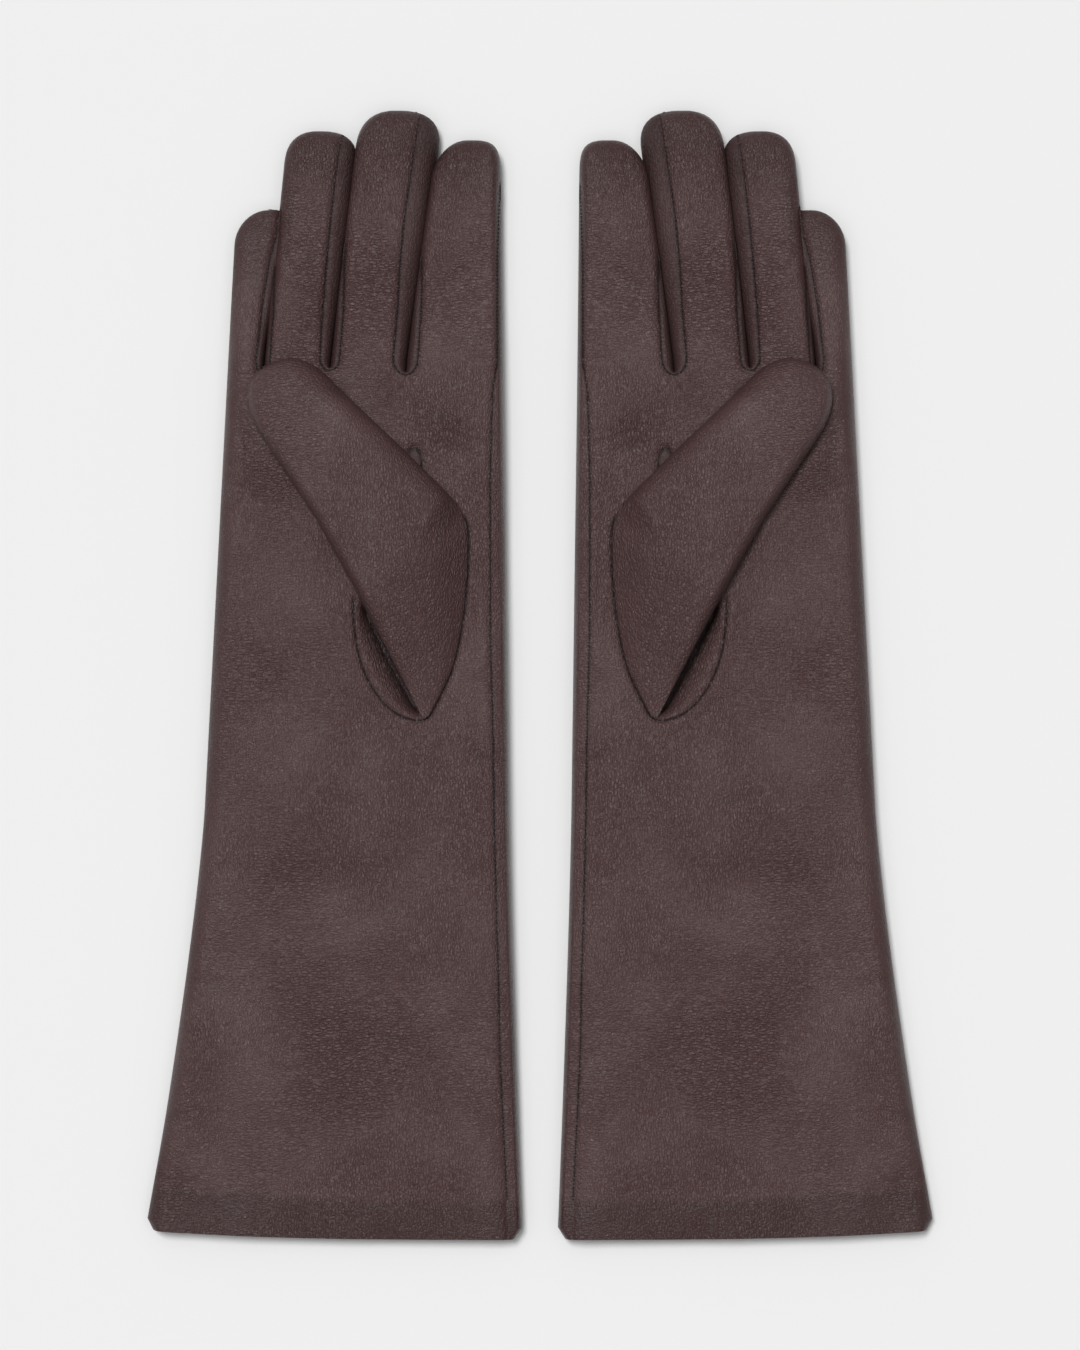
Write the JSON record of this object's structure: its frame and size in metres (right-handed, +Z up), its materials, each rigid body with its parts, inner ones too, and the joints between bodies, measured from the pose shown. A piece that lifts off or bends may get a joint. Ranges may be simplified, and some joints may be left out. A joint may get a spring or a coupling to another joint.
{
  "type": "pair of long leather gloves",
  "caption": "Pair of long lined leather dress gloves with fourchettes, gusseted thumbs and flared gauntlets, laid flat palm up.",
  "frame": {"origin": "on the resting plane, under the middle of the pair", "axes": "+Y from the hems toward the fingertips, +Z up out of the palms, +X from the right-hand glove to the left-hand glove"},
  "size_m": [0.2532, 0.3615, 0.0243],
  "materials": {
    "nappa_leather": "fine-grained dark brown nappa, soft sheen",
    "fourchette_leather": "fine-grained dark brown nappa, thin skived strips",
    "hem_facing": "turned edge, flesh side in",
    "lining_knit": "fine dark knit",
    "thread": "matt dark sewing thread"
  },
  "bodies": {
    "right_glove": {"right_trank": "nappa_leather", "right_thumb_gusset": "nappa_leather", "right_thumb_quirk": "fourchette_leather", "right_hem_facing": "hem_facing", "right_hand_lining": "lining_knit", "right_side_seam_thread": "thread", "right_thumb_seam_thread": "thread"},
    "right_index": {"right_index_palm": "nappa_leather", "right_index_back": "nappa_leather", "right_index_fourchette": "fourchette_leather", "right_index_lining": "lining_knit"},
    "right_middle": {"right_middle_palm": "nappa_leather", "right_middle_back": "nappa_leather", "right_middle_fourchette_radial": "fourchette_leather", "right_middle_fourchette_ulnar": "fourchette_leather", "right_middle_lining": "lining_knit"},
    "right_ring": {"right_ring_palm": "nappa_leather", "right_ring_back": "nappa_leather", "right_ring_fourchette_radial": "fourchette_leather", "right_ring_fourchette_ulnar": "fourchette_leather", "right_ring_lining": "lining_knit"},
    "right_little": {"right_little_stall": "nappa_leather", "right_little_fourchette": "fourchette_leather", "right_little_lining": "lining_knit"},
    "right_thumb": {"right_thumb_leather": "nappa_leather", "right_thumb_lining": "lining_knit"},
    "left_glove": {"left_trank": "nappa_leather", "left_thumb_gusset": "nappa_leather", "left_thumb_quirk": "fourchette_leather", "left_hem_facing": "hem_facing", "left_hand_lining": "lining_knit", "left_side_seam_thread": "thread", "left_thumb_seam_thread": "thread"},
    "left_index": {"left_index_palm": "nappa_leather", "left_index_back": "nappa_leather", "left_index_fourchette": "fourchette_leather", "left_index_lining": "lining_knit"},
    "left_middle": {"left_middle_palm": "nappa_leather", "left_middle_back": "nappa_leather", "left_middle_fourchette_radial": "fourchette_leather", "left_middle_fourchette_ulnar": "fourchette_leather", "left_middle_lining": "lining_knit"},
    "left_ring": {"left_ring_palm": "nappa_leather", "left_ring_back": "nappa_leather", "left_ring_fourchette_radial": "fourchette_leather", "left_ring_fourchette_ulnar": "fourchette_leather", "left_ring_lining": "lining_knit"},
    "left_little": {"left_little_stall": "nappa_leather", "left_little_fourchette": "fourchette_leather", "left_little_lining": "lining_knit"},
    "left_thumb": {"left_thumb_leather": "nappa_leather", "left_thumb_lining": "lining_knit"}
  },
  "joints": [
    {"name": "left_glove_move", "type": "slide", "parent": "right_glove", "child": "left_glove", "axis": [1, 0, 0], "range_m": [0, 0.05]},
    {"name": "right_index_curl", "type": "hinge", "parent": "right_glove", "child": "right_index", "pos_m": [-0.027, 0.101, 0.0126], "axis": [1, 0, 0], "range_deg": [0, 80]},
    {"name": "right_middle_curl", "type": "hinge", "parent": "right_glove", "child": "right_middle", "pos_m": [-0.05375, 0.101, 0.0126], "axis": [1, 0, 0], "range_deg": [0, 80]},
    {"name": "right_ring_curl", "type": "hinge", "parent": "right_glove", "child": "right_ring", "pos_m": [-0.076, 0.101, 0.0126], "axis": [1, 0, 0], "range_deg": [0, 80]},
    {"name": "right_little_curl", "type": "hinge", "parent": "right_glove", "child": "right_little", "pos_m": [-0.09325, 0.101, 0.0126], "axis": [1, 0, 0], "range_deg": [0, 80]},
    {"name": "right_thumb_lift", "type": "hinge", "parent": "right_glove", "child": "right_thumb", "pos_m": [-0.0415, 0.0373, 0.0243], "axis": [0.8, 0.6, 0], "range_deg": [0, 75]},
    {"name": "left_index_curl", "type": "hinge", "parent": "left_glove", "child": "left_index", "pos_m": [0.027, 0.101, 0.0126], "axis": [1, 0, 0], "range_deg": [0, 80]},
    {"name": "left_middle_curl", "type": "hinge", "parent": "left_glove", "child": "left_middle", "pos_m": [0.05375, 0.101, 0.0126], "axis": [1, 0, 0], "range_deg": [0, 80]},
    {"name": "left_ring_curl", "type": "hinge", "parent": "left_glove", "child": "left_ring", "pos_m": [0.076, 0.101, 0.0126], "axis": [1, 0, 0], "range_deg": [0, 80]},
    {"name": "left_little_curl", "type": "hinge", "parent": "left_glove", "child": "left_little", "pos_m": [0.09325, 0.101, 0.0126], "axis": [1, 0, 0], "range_deg": [0, 80]},
    {"name": "left_thumb_lift", "type": "hinge", "parent": "left_glove", "child": "left_thumb", "pos_m": [0.0415, 0.0373, 0.0243], "axis": [0.8, -0.6, 0], "range_deg": [0, 75]}
  ]
}
